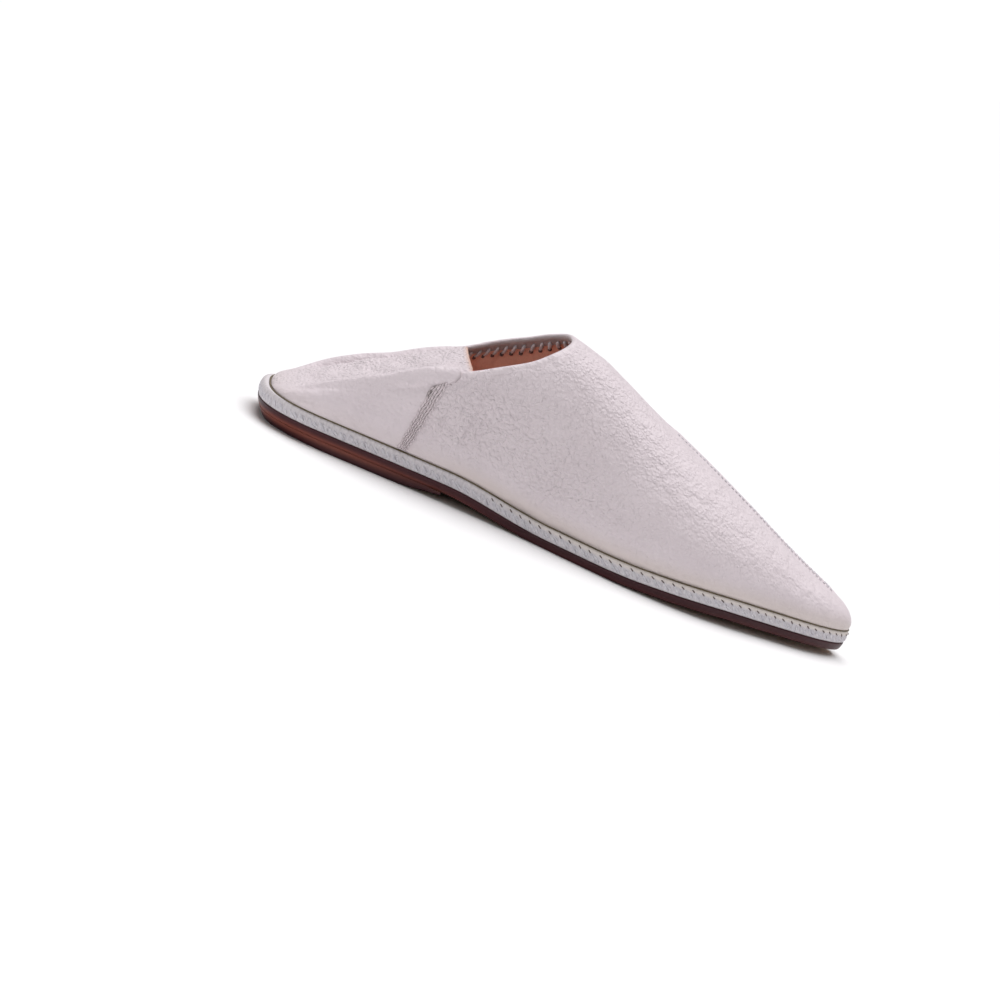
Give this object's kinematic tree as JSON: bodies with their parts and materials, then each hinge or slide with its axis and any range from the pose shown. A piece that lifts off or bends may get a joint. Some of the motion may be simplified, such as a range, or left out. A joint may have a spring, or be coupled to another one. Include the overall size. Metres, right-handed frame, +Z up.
{
  "type": "babouche slipper",
  "caption": "Heelless leather slipper with a pointed toe, a folded-down back, a stitched welt band and a thin flat sole with a low heel lift.",
  "frame": {"origin": "on the floor, below the middle of the slipper's length and width", "axes": "+X from heel to toe, +Y to the outer side of the foot, +Z up"},
  "size_m": [0.28, 0.0966, 0.0823],
  "materials": {
    "sole_leather": "brown burnished sole leather, semi-gloss edge",
    "welt_leather": "thin ivory leather wrapped over the midsole edge, whip-stitched, matte",
    "lining_leather": "undyed tan lining leather, matte",
    "ivory_leather": "pebble-grained ivory leather, soft satin",
    "thread": "waxed ivory thread, matte"
  },
  "bodies": {
    "root": {"heel_lift": "sole_leather", "outsole": "sole_leather", "midsole": "welt_leather", "insole": "lining_leather", "upper": "ivory_leather"}
  },
  "joints": []
}
